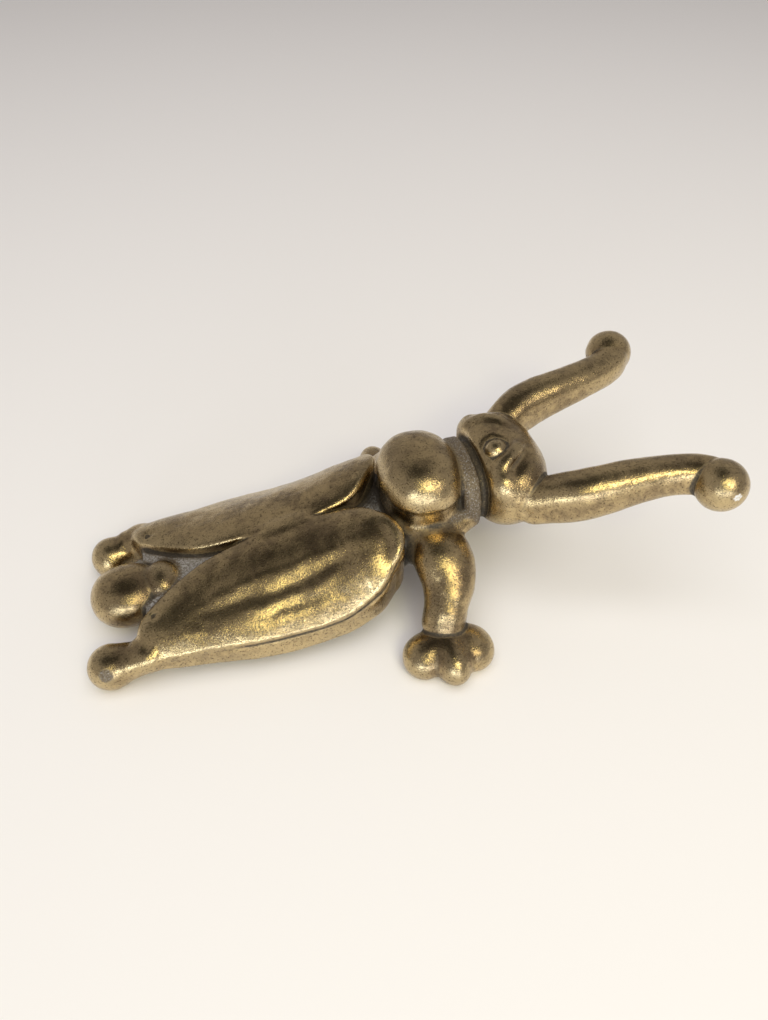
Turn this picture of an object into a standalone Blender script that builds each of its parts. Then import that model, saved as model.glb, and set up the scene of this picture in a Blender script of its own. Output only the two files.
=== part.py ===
"""Cricket-shaped boot jack, one brass casting, laid out as the anatomical regions of that casting.

Metres, +Z up. +X points to the antennae, which fork and take the heel of a boot. The insect stands on
two front feet and two hind feet at z = 0. Right is -Y, left is +Y.
"""
import math

import bmesh
import bpy
import numpy as np
from mathutils import Matrix, Vector

MM = 0.001

# ---- Driving dimensions, in millimetres --------------------------------------------------------
GAP = 0.3                 # parting between two regions of the casting
PITCH = 2.0               # degrees that the long front legs raise the nose

THORAX_X = 31.5           # middle of the thorax, from which the other regions are laid out
THORAX_LONG = 16.5        # half length
THORAX_WIDE = 21.0        # half width
THORAX_BASE_Z = 31.5
THORAX_CREASE_Z = 46.0    # edge between dome and skirt
THORAX_TOP_Z = 61.5
CAST_WALL = 5.0           # metal left around the hollows under thorax, shoulder plate and head

PLATE_LOW_Z = 17.0        # underside of the shoulder plate, which carries thorax and front legs
PLATE_LEDGE = 3.0         # how far the plate stands out beside the thorax
PLATE_BEHIND = 3.0        # and behind it
PLATE_SHY = 1.0           # how far it stays behind the thorax's front

WING_LONG = 102.4         # rear edge of a wing to the front of its dome
WING_SPREAD = 40.8        # centre line to the widest place of the crease
WING_CLEAR = 2.6          # front of the dome to the back of the thorax
WING_WALL = 3.0           # metal thickness of a wing's side wall
WING_COVER = 3.4          # metal thickness of a wing's top
WING_STEPS = 25
WELD = 0.02               # corners nearer than this are one corner

HULL_TOP_FRONT = 34.0     # floor of the trough between the wings, at the thorax
HULL_TOP_REAR = 17.5      # the same floor, above the tail lobe
HULL_WALL = 3.0           # metal thickness of the hollow hull

NECK_LONG = 7.4
NECK_SEAT = 0.4           # depth that the neck reaches into the thorax's side before parting
NECK_INSET = 1.0          # how far the neck stays inside the thorax's width
NECK_DROP = 7.0           # thorax top to neck top
NECK_RAISE = 4.5          # plate underside to neck underside

HEAD_LONG = 17.6
HEAD_WIDE = 27.0
HEAD_HIGH = 19.0
HEAD_LIFT = 3.5           # middle of the neck to the middle of the head
HEAD_SEAT = 6.4           # depth that the head closes over the neck

ANTENNA_LONG = 71.0       # middle of the head to the middle of the ball
TIP_RADIUS = 10.3
TIP_Y = 46.2
TIP_Z = 53.8

HIND_REACH = 12.6         # rear edge of a wing to the middle of the knob
HIND_RADIUS = 8.2
SOLE_CUT = 0.5            # height of knob that the flat sole takes off

FOOT_Y = 55.6             # centre line to the middle of a front foot
FOOT_Z = 0.4
FOOT_LOBE = 8.4

# ---- Places that follow from them --------------------------------------------------------------
WING_FRONT_X = THORAX_X - THORAX_LONG - WING_CLEAR
WING_REAR_X = WING_FRONT_X - WING_LONG

PLATE_LONG = THORAX_LONG + (PLATE_BEHIND - PLATE_SHY) / 2
PLATE_X = THORAX_X - (PLATE_BEHIND + PLATE_SHY) / 2
PLATE_WIDE = THORAX_WIDE + PLATE_LEDGE

NECK_X = THORAX_X + THORAX_LONG + NECK_LONG / 2 - NECK_SEAT
NECK_WIDE = THORAX_WIDE - NECK_INSET
NECK_TOP_Z = THORAX_TOP_Z - NECK_DROP
NECK_LOW_Z = PLATE_LOW_Z + NECK_RAISE
NECK_Z = (NECK_TOP_Z + NECK_LOW_Z) / 2
NECK_HIGH = (NECK_TOP_Z - NECK_LOW_Z) / 2

HEAD_X = NECK_X + NECK_LONG / 2 + HEAD_LONG - HEAD_SEAT
HEAD_Z = NECK_Z + HEAD_LIFT
TIP_X = HEAD_X + ANTENNA_LONG

HIND_X = WING_REAR_X - HIND_REACH
HIND_Z = HIND_RADIUS - SOLE_CUT
PIVOT_X = HIND_X - 1.2    # body-frame x about which the body is pitched
FOOT_X = PLATE_X - 3.9

# Stations of a wing, each as a share of its length from the rear: the crease as a share of the spread,
# the inner edge as a share of the crease, then in mm the lip over the trough, the fall from lip to
# crease, the height of the side wall, and the two bulges of the dome.
WING = (
    (0.0000, 0.848, 0.7225, 0.0, 3.9, 5.0, 1.5, 2.0),
    (0.0391, 0.892, 0.5495, 3.0, 6.0, 8.0, 2.5, 4.2),
    (0.1367, 0.924, 0.3236, 4.6, 8.0, 10.6, 2.4, 6.2),
    (0.2832, 0.946, 0.1166, 5.5, 10.6, 12.6, 2.3, 7.6),
    (0.4492, 0.993, 0.0321, 6.9, 14.0, 13.5, 3.2, 8.6),
    (0.6055, 1.000, 0.0196, 7.5, 16.4, 13.7, 3.8, 10.0),
    (0.7715, 0.985, 0.0199, 8.0, 17.2, 14.0, 5.6, 12.2),
    (0.8789, 0.939, 0.0470, 8.5, 14.6, 15.8, 6.6, 13.0),
    (0.9473, 0.885, 0.1163, 9.7, 12.5, 17.1, 5.6, 11.0),
    (1.0000, 0.775, 0.2722, 10.5, 7.8, 20.6, 3.4, 5.6),
)

BRASS = {
    "gold": ((0.42, 0.31, 0.12), 0.34),
    "olive": ((0.33, 0.26, 0.13), 0.40),
    "tan": ((0.40, 0.30, 0.18), 0.46),
    "grey": ((0.24, 0.22, 0.18), 0.55),
}


def clear_scene():
    for item in list(bpy.data.objects):
        bpy.data.objects.remove(item, do_unlink=True)


def brass(name, key):
    """One Principled brass, with the tint of its region."""
    colour, rough = BRASS[key]
    made = bpy.data.materials.new("brass_" + name)
    made.use_nodes = True
    shader = made.node_tree.nodes["Principled BSDF"]
    shader.inputs["Base Color"].default_value = (*colour, 1.0)
    shader.inputs["Metallic"].default_value = 1.0
    shader.inputs["Roughness"].default_value = rough
    made.diffuse_color = (*colour, 1.0)
    return made


def leaned(x, z):
    """Pitched x and z, in millimetres, of a body-frame x and z."""
    tilt = math.radians(PITCH)
    along = x - PIVOT_X
    return (PIVOT_X + along * math.cos(tilt) - z * math.sin(tilt),
            along * math.sin(tilt) + z * math.cos(tilt))


# Pitched x halfway between the backs of the knobs and the fronts of the balls.
X_MIDDLE = (leaned(HIND_X - HIND_RADIUS, HIND_Z)[0] + leaned(TIP_X + TIP_RADIUS, TIP_Z)[0]) / 2


def pitched(point):
    """World place, in metres, of a body-frame point in millimetres."""
    x, z = leaned(point[0], point[2])
    return ((x - X_MIDDLE) * MM, point[1] * MM, z * MM)


def finish(name, mesh_data, key, smooth=True):
    """Puts a bmesh, in body-frame millimetres, into the scene as a named node."""
    bmesh.ops.recalc_face_normals(mesh_data, faces=mesh_data.faces)
    centre = sum((v.co for v in mesh_data.verts), Vector()) / len(mesh_data.verts)
    bmesh.ops.translate(mesh_data, verts=mesh_data.verts, vec=-centre)
    bmesh.ops.scale(mesh_data, verts=mesh_data.verts, vec=(MM, MM, MM))
    data = bpy.data.meshes.new(name)
    mesh_data.to_mesh(data)
    mesh_data.free()
    for face in data.polygons:
        face.use_smooth = smooth
    made = bpy.data.objects.new(name, data)
    made.location = pitched(centre)
    made.rotation_euler = (0.0, -math.radians(PITCH), 0.0)
    bpy.context.scene.collection.objects.link(made)
    data.materials.append(brass(name, key))
    return made


def loft(rings, closed_ends=True):
    """Skins a list of rings, each a closed loop with the same number of points."""
    made = bmesh.new()
    rows = [[made.verts.new(p) for p in ring] for ring in rings]
    count = len(rows[0])
    for first, second in zip(rows[:-1], rows[1:]):
        for i in range(count):
            j = (i + 1) % count
            made.faces.new((first[i], first[j], second[j], second[i]))
    if closed_ends:
        made.faces.new(rows[0][::-1])
        made.faces.new(rows[-1])
    return made


def spline(points, count):
    """Catmull-Rom curve through rows of numbers, at count even steps."""
    rows = np.array(points, float)
    rows = np.vstack((2 * rows[0] - rows[1], rows, 2 * rows[-1] - rows[-2]))
    out = []
    for s in np.linspace(0, len(rows) - 3 - 1e-9, count):
        k = int(s)
        t = s - k
        a, b, c, d = rows[k:k + 4]
        out.append(0.5 * (2 * b + (c - a) * t + (2 * a - 5 * b + 4 * c - d) * t * t
                          + (3 * b - a - 3 * c + d) * t ** 3))
    return out


def rounded(angle, power):
    """Unit superellipse point; power 2 is a circle, higher is squarer."""
    c, s = math.cos(angle), math.sin(angle)
    return (math.copysign(abs(c) ** (2 / power), c), math.copysign(abs(s) ** (2 / power), s))


def sweep(stations, steps, around=24, power=2.2, caps=5, flat_start=False):
    """A limb along stations of x, y, z, half width, half height, with rounded ends."""
    path = [np.array(p) for p in spline(stations, steps)]
    frames = []
    for i, here in enumerate(path):
        ahead = path[min(i + 1, steps - 1)][:3] - path[max(i - 1, 0)][:3]
        forward = Vector(ahead).normalized()
        side = forward.cross(Vector((0, 0, 1))).normalized()
        frames.append((Vector(here[:3]), forward, side, side.cross(forward), here[3], here[4]))
    rings = []
    start, end = frames[0], frames[-1]
    for k in range(0 if flat_start else caps, 0, -1):
        rings.append(cap_ring(start, -1.0, k / (caps + 0.4), around, power))
    rings.extend(section_ring(f, 1.0, 0.0, around, power) for f in frames)
    for k in range(1, caps + 1):
        rings.append(cap_ring(end, 1.0, k / (caps + 0.4), around, power))
    return loft(rings)


def section_ring(frame, scale, offset, around, power):
    centre, forward, side, up, wide, high = frame
    ring = []
    for n in range(around):
        u, v = rounded(2 * math.pi * n / around, power)
        ring.append(centre + forward * offset + side * (u * wide * scale) + up * (v * high * scale))
    return ring


def cap_ring(frame, direction, share, around, power):
    angle = share * math.pi / 2
    reach = direction * min(frame[4], frame[5]) * math.sin(angle)
    return section_ring(frame, math.cos(angle), reach, around, power)


def ellipsoid(centre, radii, columns=32, rows=18, tilt=None):
    made = bmesh.new()
    bmesh.ops.create_uvsphere(made, u_segments=columns, v_segments=rows, radius=1.0)
    bmesh.ops.scale(made, verts=made.verts, vec=radii)
    if tilt:
        turn = Matrix.Rotation(math.radians(tilt[0]), 3, tilt[1])
        bmesh.ops.rotate(made, verts=made.verts, cent=(0, 0, 0), matrix=turn)
    bmesh.ops.translate(made, verts=made.verts, vec=centre)
    return made


def cutter_of(source, grow):
    """A hidden copy of a node, grown by the parting gap."""
    made = source.copy()
    made.data = source.data.copy()
    made.name = source.name + "_cutter"
    bpy.context.scene.collection.objects.link(made)
    hidden(made)
    if grow:
        swell = made.modifiers.new("gap", "DISPLACE")
        swell.strength = grow * MM
        swell.mid_level = 0.0
        swell.direction = "NORMAL"
    return made


def boolean(target, other, operation):
    step = target.modifiers.new(operation.lower() + "_" + other.name, "BOOLEAN")
    step.operation = operation
    step.solver = "EXACT"
    step.use_self = True
    step.object = other


def bake(target):
    """Applies a node's modifiers, so that later cutters copy its final shape."""
    graph = bpy.context.evaluated_depsgraph_get()
    data = bpy.data.meshes.new_from_object(target.evaluated_get(graph))
    welded = bmesh.new()
    welded.from_mesh(data)
    bmesh.ops.remove_doubles(welded, verts=welded.verts, dist=WELD * MM)
    bmesh.ops.dissolve_degenerate(welded, edges=welded.edges, dist=WELD * MM)
    welded.to_mesh(data)
    welded.free()
    target.modifiers.clear()
    target.data = data


def core_out(target, core):
    boolean(target, core, "DIFFERENCE")
    bpy.context.view_layer.update()
    bake(target)


def part_from(target, *neighbours):
    """Cuts a node back from its neighbours, leaving the parting gap."""
    for other in neighbours:
        boolean(target, cutter_of(other, GAP), "DIFFERENCE")
    bpy.context.view_layer.update()
    bake(target)


def join_solids(name, pieces, key):
    """Fuses overlapping solids into one node."""
    first = finish(name, pieces[0], key)
    for n, piece in enumerate(pieces[1:]):
        extra = finish("%s_lobe_%d" % (name, n), piece, key)
        boolean(first, hidden(extra), "UNION")
    bpy.context.view_layer.update()
    bake(first)
    return first


def ground_block():
    """Hidden block whose top is the floor, z = 0."""
    made = bmesh.new()
    bmesh.ops.create_cube(made, size=1.0)
    bmesh.ops.scale(made, verts=made.verts, vec=(0.4, 0.3, 0.04))
    bmesh.ops.translate(made, verts=made.verts, vec=(0, 0, -0.02))
    data = bpy.data.meshes.new("ground_block")
    made.to_mesh(data)
    made.free()
    block = bpy.data.objects.new("ground_block", data)
    bpy.context.scene.collection.objects.link(block)
    return hidden(block)


# ---- Regions of the casting ---------------------------------------------------------------------
def bezier(p0, p1, p2, p3, count):
    out = []
    for t in np.linspace(0, 1, count):
        w = ((1 - t) ** 3, 3 * t * (1 - t) ** 2, 3 * t * t * (1 - t), t ** 3)
        out.append([sum(w[k] * p[axis] for k, p in enumerate((p0, p1, p2, p3))) for axis in (0, 1)])
    return out


def trough_z(x):
    """Height of the floor between the wings."""
    share = (x - WING_REAR_X) / (THORAX_X - WING_REAR_X)
    return HULL_TOP_REAR + (HULL_TOP_FRONT - HULL_TOP_REAR) * share ** 0.8


def wing_rows():
    """Stations as x, inner edge y and z, crease y and z, rim z, and the two bulges."""
    rows = []
    for along, crease, inner, lip, fall, wall, rise, drop in WING:
        x = WING_REAR_X + WING_LONG * along
        y = WING_SPREAD * crease
        z = trough_z(x) + lip
        rows.append((x, y * inner, z, y, z - fall, z - fall - wall, rise, drop))
    return rows


def wing_outer(row):
    """Dome of a wing section, inner edge to crease, as y, z points."""
    _, y0, z0, y1, z1, _, rise, drop = row
    width = y1 - y0
    return bezier((y0, z0), (y0 + 0.33 * width, z0 + rise), (y1 - 0.25 * width, z1 + drop), (y1, z1), 13)


def wing_inner(row):
    """Underside of a wing section, which is also the outside of the hull, plus the gap."""
    _, _, _, y1, z1, rim, _, _ = row
    dome = wing_outer(row)
    under = [(y, z - WING_COVER) for y, z in dome[:-2] if y < y1 - 1.5 * WING_WALL]
    while len(under) < len(dome) - 2:
        under.append(tuple(0.5 * (p + q) for p, q in zip(under[-1], under[-2])))
    under.sort()
    wall = y1 - WING_WALL
    return under, [(wall, z1 - 2.0), (wall - 0.4, 0.5 * (z1 + rim)), (wall - 1.2, rim)]


def wing(name, side):
    rings = []
    for row in spline(wing_rows(), WING_STEPS):
        x, _, _, y1, z1, rim = row[:6]
        under, wall = wing_inner(row)
        section = wing_outer(row)
        section += [(y1 + 0.2, z1 - 0.25 * (z1 - rim)), (y1 - 0.1, z1 - 0.6 * (z1 - rim)), (y1 - 1.2, rim)]
        section += wall[::-1] + under[::-1]
        rings.append([(x, side * y, z) for y, z in section])
    tip = rings[-1]
    for reach, share in ((2.6, 0.86), (4.3, 0.6), (5.0, 0.3)):
        rings.append(pinch(tip, reach, share))
    return finish(name, loft(rings), "gold")


def pinch(ring, reach, share):
    """A ring drawn together about its middle and moved along x."""
    middle_y = sum(p[1] for p in ring) / len(ring)
    middle_z = sum(p[2] for p in ring) / len(ring)
    return [(x + reach, middle_y + (y - middle_y) * share, middle_z + (z - middle_z) * share)
            for x, y, z in ring]


def hull(name, solid=False):
    """Hollow belly: trough floor between the wings, slopes under them, side walls, open below."""
    rings = []
    for row in spline(wing_rows(), WING_STEPS)[3:]:
        x, y0, _, _, _, rim = row[:6]
        floor = trough_z(x)
        under, wall = wing_inner(row)
        half = [(0.0, floor), (0.5 * y0, floor), (y0 - 0.05, floor)]
        half += [(y, z - 2.2 * GAP) for y, z in under]
        half += [(y - 1.5 * GAP, z - 1.5 * GAP) for y, z in wall[:-1]] + [(wall[-1][0] - 1.5 * GAP, rim)]
        shrink = 1.0 - HULL_WALL / wall[0][0]
        inside = [(y * shrink, min(z, floor) - HULL_WALL) for y, z in half[:-1]]
        inside.append((half[-1][0] * shrink, rim))
        if solid:
            inside = [(y * shrink, rim) for y, _ in half]
        rings.append(mirror_ring(x, half, inside))
    return finish(name, loft(rings), "grey")


def mirror_ring(x, half, inside):
    """Closed arch section from one side's outer and inner profiles."""
    right = [(x, -y, z) for y, z in half[::-1]]
    left = [(x, y, z) for y, z in half[1:]]
    back = [(x, y, z) for y, z in inside[::-1]]
    home = [(x, -y, z) for y, z in inside[1:]]
    return right + left + back + home


def cushion(base, crease, top, long, wide):
    """Rings of a rounded cushion over a slightly drawn-in skirt, centred on the thorax."""
    rings = []
    levels = [(base, 0.90), (base + 4, 0.93), (crease - 4, 0.965), (crease - 1, 1.0), (crease, 1.01)]
    for n in range(1, 9):
        angle = n / 8.6 * math.pi / 2
        levels.append((crease + (top - crease) * math.sin(angle), math.cos(angle) ** 0.92))
    for z, share in levels:
        ring = []
        for n in range(36):
            u, v = rounded(2 * math.pi * n / 36, 2.3)
            ring.append((THORAX_X + long * share * u, wide * share * v, z))
        rings.append(ring)
    return rings


def thorax(name):
    made = cushion(THORAX_BASE_Z, THORAX_CREASE_Z, THORAX_TOP_Z, THORAX_LONG, THORAX_WIDE)
    return finish(name, loft(made), "gold")


def chest_hollow(name):
    """Hidden core that leaves the casting's wall under the thorax and through the shoulder plate."""
    inset = (THORAX_LONG - CAST_WALL, THORAX_WIDE - CAST_WALL)
    rings = cushion(THORAX_BASE_Z - 2, THORAX_CREASE_Z - 2, THORAX_TOP_Z - CAST_WALL, *inset)
    rings.insert(0, [(x, y, PLATE_LOW_Z - 6) for x, y, _ in rings[0]])
    return hidden(finish(name, loft(rings), "grey"))


def head_hollow(name):
    """Hidden core that hollows the head from below."""
    rings = []
    for z, share in ((HEAD_Z - HEAD_HIGH - 4, 0.80), (HEAD_Z - 6, 0.80), (HEAD_Z + 3, 0.72),
                     (HEAD_Z + 8, 0.56), (HEAD_Z + HEAD_HIGH - 2 * CAST_WALL, 0.35)):
        ring = []
        for n in range(32):
            u, v = rounded(2 * math.pi * n / 32, 2.3)
            ring.append((HEAD_X + 2.0 + (HEAD_LONG - CAST_WALL) * share * u,
                         (HEAD_WIDE - CAST_WALL) * share * v, z))
        rings.append(ring)
    return hidden(finish(name, loft(rings), "grey"))


def hidden(made):
    made.hide_render = True
    made.display_type = "WIRE"
    return made


def neck(name):
    half = NECK_LONG / 2
    rings = []
    for x, share in ((-half, 0.95), (-half + 1, 1.0), (half - 1, 1.0), (half, 0.96)):
        ring = []
        for n in range(36):
            u, v = rounded(2 * math.pi * n / 36, 2.3)
            ring.append((NECK_X + x, NECK_WIDE * share * u, NECK_Z + NECK_HIGH * share * v))
        rings.append(ring)
    return finish(name, loft(rings), "grey")


def shoulder_plate(name):
    rings = []
    top = THORAX_BASE_Z - GAP
    low = PLATE_LOW_Z
    for z, share in ((low, 0.90), (low + 2, 0.96), (top - 3, 1.0), (top - 1, 0.98), (top, 0.94)):
        ring = []
        for n in range(40):
            u, v = rounded(2 * math.pi * n / 40, 2.6)
            ring.append((PLATE_X + PLATE_LONG * share * u, PLATE_WIDE * share * v, z))
        rings.append(ring)
    return finish(name, loft(rings), "grey")


def head(name):
    """Boxy rounded dome with a button on its crown."""
    rings = []
    for n in range(1, 16):
        level, reach = rounded(n / 16 * math.pi, 2.3)
        ring = []
        for k in range(32):
            u, v = rounded(2 * math.pi * k / 32, 2.4)
            ring.append((HEAD_X + HEAD_LONG * reach * u, HEAD_WIDE * reach * v, HEAD_Z - HEAD_HIGH * level))
        rings.append(ring)
    button = ellipsoid((HEAD_X - 4, -1.0, HEAD_Z + HEAD_HIGH - 1.4), (4.4, 4.0, 3.0), 16, 10)
    return join_solids(name, [loft(rings), button], "olive")


def antenna(name, side):
    """Stations go from a root inside the head to an end inside the ball."""
    root = np.array((HEAD_X + 0.55 * HEAD_LONG, HEAD_WIDE - 3.0, HEAD_Z + 1.0))
    ball = np.array((TIP_X, TIP_Y, TIP_Z))
    shares = ((0.0, 0.0, 0.0), (0.165, 0.207, 0.336), (0.328, 0.297, 0.549), (0.524, 0.360, 0.735),
              (0.720, 0.446, 0.867), (0.875, 0.568, 0.947), (0.964, 0.721, 0.991), (1.013, 0.878, 1.0))
    halves = ((8.0, 9.0), (8.9, 10.2), (8.7, 9.8), (8.0, 8.8), (7.5, 8.0), (7.3, 7.8),
              (0.70 * TIP_RADIUS, 0.76 * TIP_RADIUS), (0.68 * TIP_RADIUS, 0.74 * TIP_RADIUS))
    stations = []
    for share, half in zip(shares, halves):
        place = root + np.array(share) * (ball - root)
        stations.append((place[0], side * place[1], place[2], *half))
    return finish(name, sweep(stations, 22, 22, 2.3, caps=3), "gold")


def antenna_tip(name, side):
    return finish(name, ellipsoid((TIP_X, side * TIP_Y, TIP_Z), (TIP_RADIUS,) * 3, 24, 14), "gold")


def tail_lobe(name):
    """End of the abdomen, which comes out from under the wings' inner edges."""
    offsets = ((17.0, 0.9, 8.0, 5.6), (12.5, -0.1, 10.6, 7.2), (8.0, -1.9, 11.0, 7.8),
               (2.0, -2.9, 13.2, 10.2), (-4.0, -3.9, 13.4, 10.2), (-9.0, -4.9, 10.6, 8.2))
    stations = [(WING_REAR_X + dx, 0, HULL_TOP_REAR + dz, w, h) for dx, dz, w, h in offsets]
    return finish(name, sweep(stations, 16, 24, 2.1), "olive")


def hind_foot(name, side):
    """Short stalk behind the wing, ending in a knob."""
    x, y0, _, y1, z1, rim, _, _ = wing_rows()[0]
    y = (y0 + y1) / 2 + 0.2
    z = (z1 + rim) / 2
    stations = ((x - 2 * GAP, y, z, 6.6, 5.6), (x - 3.5, y, z, 6.1, 5.7),
                (HIND_X + 4.6, y - 0.6, z - 1.9, 6.5, 6.6),
                (HIND_X, y - 1.2, HIND_Z, HIND_RADIUS, HIND_RADIUS + 0.2))
    made = [(x, side * y, z, w, h) for x, y, z, w, h in stations]
    return finish(name, sweep(made, 10, 22, 2.1, caps=4, flat_start=True), "olive")


def front_leg(name, side):
    """Leg from inside the shoulder plate, over the shoulder and down to the ankle."""
    root = np.array((PLATE_X + 0.5, PLATE_WIDE - 6.0, THORAX_BASE_Z - 4.0))
    ankle = np.array((FOOT_X + 1.2, FOOT_Y - 8.0, FOOT_Z + 7.8))
    reach = ankle[1] - root[1]
    stations = [(*root, 11.0, 0.27 * reach)]
    for out, ahead, drop, wide, high in ((0.338, 2.7, 0.026, 12.2, 0.297), (0.608, 2.6, 0.311, 11.6, 0.291),
                                         (0.845, -0.8, 0.622, 9.0, 0.264), (1.0, -3.2, 1.0, 8.2, 0.236)):
        y = root[1] + out * reach
        z = root[2] + drop * (ankle[2] - root[2])
        stations.append((root[0] + ahead, y, z, wide, high * reach))
    made = sweep([(x, side * y, z, w, h) for x, y, z, w, h in stations], 15, 22, 2.3, caps=4)
    return finish(name, made, "gold")


def front_foot(name, side):
    """Three rounded toes and the heel they spring from."""
    heel = (FOOT_LOBE + 1.6, FOOT_LOBE - 0.4, FOOT_LOBE - 0.6)
    pieces = [ellipsoid((FOOT_X, side * (FOOT_Y - 3), FOOT_Z + 1), heel, 20, 12)]
    toe = (FOOT_LOBE - 1.0, FOOT_LOBE, FOOT_LOBE - 1.2)
    for along, out in ((-1.17, -0.26), (0.0, 0.78), (1.31, 0.0)):
        centre = (FOOT_X + along * FOOT_LOBE, side * (FOOT_Y + out * FOOT_LOBE), FOOT_Z)
        pieces.append(ellipsoid(centre, toe, 20, 12))
    return join_solids(name, pieces, "tan")


def build():
    """Makes each region, then cuts every region back from the ones it meets."""
    clear_scene()
    ground = ground_block()
    chest = thorax("thorax")
    belly = hull("body_shell")
    plate = shoulder_plate("shoulder_plate")
    collar = neck("neck_band")
    skull = head("head")
    tail = tail_lobe("tail_lobe")
    wings = [wing("right_wing", -1), wing("left_wing", 1)]
    part_from(plate, *wings)
    part_from(chest, *wings)
    part_from(belly, plate, chest, *wings)
    part_from(collar, chest, plate)
    part_from(skull, collar)
    part_from(tail, hidden(hull("body_envelope", solid=True)), *wings)
    for name, side, cover in (("right", -1, wings[0]), ("left", 1, wings[1])):
        knob = hind_foot(name + "_hind_foot", side)
        tip = antenna_tip(name + "_antenna_tip", side)
        horn = antenna(name + "_antenna", side)
        part_from(horn, skull, tip)
        leg = front_leg(name + "_front_leg", side)
        part_from(leg, plate, chest, cover)
        foot = front_foot(name + "_front_foot", side)
        part_from(foot, leg)
        for sole in (knob, foot):
            core_out(sole, ground)
    core_out(chest, chest_hollow("chest_core"))
    core_out(plate, chest_hollow("plate_core"))
    core_out(skull, head_hollow("head_core"))


build()
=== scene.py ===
"""Looks of the cricket boot jack: one continuous casting of aged brass, on a pale floor."""
import math

import bpy
import numpy as np
from mathutils import Matrix, Vector


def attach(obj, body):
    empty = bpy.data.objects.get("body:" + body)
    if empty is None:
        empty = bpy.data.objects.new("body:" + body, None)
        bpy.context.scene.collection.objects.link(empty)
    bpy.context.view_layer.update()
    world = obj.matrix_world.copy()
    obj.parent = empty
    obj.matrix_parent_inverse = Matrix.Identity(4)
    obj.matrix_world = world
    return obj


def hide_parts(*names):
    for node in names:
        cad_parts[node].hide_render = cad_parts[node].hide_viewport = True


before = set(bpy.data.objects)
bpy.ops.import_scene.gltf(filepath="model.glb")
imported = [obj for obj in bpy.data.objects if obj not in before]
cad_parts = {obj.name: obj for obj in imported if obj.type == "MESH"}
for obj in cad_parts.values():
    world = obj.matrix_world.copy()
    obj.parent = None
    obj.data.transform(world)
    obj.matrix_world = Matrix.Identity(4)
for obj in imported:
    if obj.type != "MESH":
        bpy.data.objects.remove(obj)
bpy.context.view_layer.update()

MM = 0.001
PITCH = math.radians(2.0)     # the front legs raise the nose by this much
PIVOT_X = -103.8
X_MIDDLE = 17.2
CELL = 0.8   # spacing of the sculpting grid, mm
FAR = 30.0                    # field value where no shape has been added yet
SOLE_CLEARANCE = 0.05         # height of the soles over the floor, mm
LUMP_MARGIN = 8.0             # how far around a shape the field is worked out, mm
DENT_MARGIN = 5.0

# ---- Sculpting grid: a distance field over the half with y above 0, mirrored later ---------------
X_AXIS = np.arange(-116.0, 153.0, CELL, dtype=np.float32)
Y_AXIS = np.arange(0.0, 79.0, CELL, dtype=np.float32)
Z_AXIS = np.arange(-16.0, 74.0, CELL, dtype=np.float32)
field = np.full((len(X_AXIS), len(Y_AXIS), len(Z_AXIS)), FAR, np.float32)
gritty = np.zeros(field.shape, np.float32)   # 1 where the nearest shape is rough, unrubbed brass


def smooth_min(a, b, k):
    h = np.clip(0.5 + 0.5 * (b - a) / k, 0.0, 1.0)
    return b + (a - b) * h - k * h * (1.0 - h)


def smooth_max(a, b, k):
    return -smooth_min(-a, -b, k)


def window(low, high):
    """Slices of the grid that cover a box, and its broadcastable coordinates."""
    parts = []
    for axis, lo, hi in zip((X_AXIS, Y_AXIS, Z_AXIS), low, high):
        a, b = np.searchsorted(axis, (lo, hi))
        parts.append(slice(max(a - 1, 0), min(b + 1, len(axis))))
    x = X_AXIS[parts[0]][:, None, None]
    y = Y_AXIS[parts[1]][None, :, None]
    z = Z_AXIS[parts[2]][None, None, :]
    return tuple(parts), x, y, z


def add(shape, low, high, k, grit=0.0):
    """Blend a shape into the field inside a box; k is the width of the blend."""
    part, x, y, z = window(low, high)
    value = shape(x, y, z).astype(np.float32)
    gritty[part] = np.where(value < field[part], grit, gritty[part])
    field[part] = smooth_min(field[part], value, k)


def cut(shape, low, high, k):
    """Take a shape out of the field inside a box."""
    part, x, y, z = window(low, high)
    field[part] = smooth_max(field[part], -shape(x, y, z).astype(np.float32), k)


def around(centre, radii, margin):
    reach = max(radii) + margin
    return [c - reach for c in centre], [c + reach for c in centre]


def spline(points, count):
    """Catmull-Rom curve through rows of numbers, at count even steps."""
    rows = np.array(points, float)
    rows = np.vstack((2 * rows[0] - rows[1], rows, 2 * rows[-1] - rows[-2]))
    out = []
    for s in np.linspace(0, len(rows) - 3 - 1e-9, count):
        k = int(s)
        t = s - k
        a, b, c, d = rows[k:k + 4]
        out.append(0.5 * (2 * b + (c - a) * t + (2 * a - 5 * b + 4 * c - d) * t * t
                          + (3 * b - a - 3 * c + d) * t ** 3))
    return np.array(out)


def ellipsoid(centre, radii, power=2.0):
    """Distance to a (super)ellipsoid."""
    def shape(x, y, z):
        p = (x - centre[0], y - centre[1], z - centre[2])
        q = [np.abs(v / r) + 1e-4 for v, r in zip(p, radii)]
        level = (q[0] ** power + q[1] ** power + q[2] ** power) ** (1 / power)
        slope = np.sqrt(sum((v ** (power - 1) / r) ** 2 for v, r in zip(q, radii))) * level ** (1 - power)
        return (level - 1.0) / slope
    return shape


def lump(centre, radii, k, power=2.0):
    low, high = around(centre, radii, LUMP_MARGIN)
    add(ellipsoid(centre, radii, power), low, high, k)


def dent(centre, radii, k):
    low, high = around(centre, radii, DENT_MARGIN)
    cut(ellipsoid(centre, radii), low, high, k)


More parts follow.
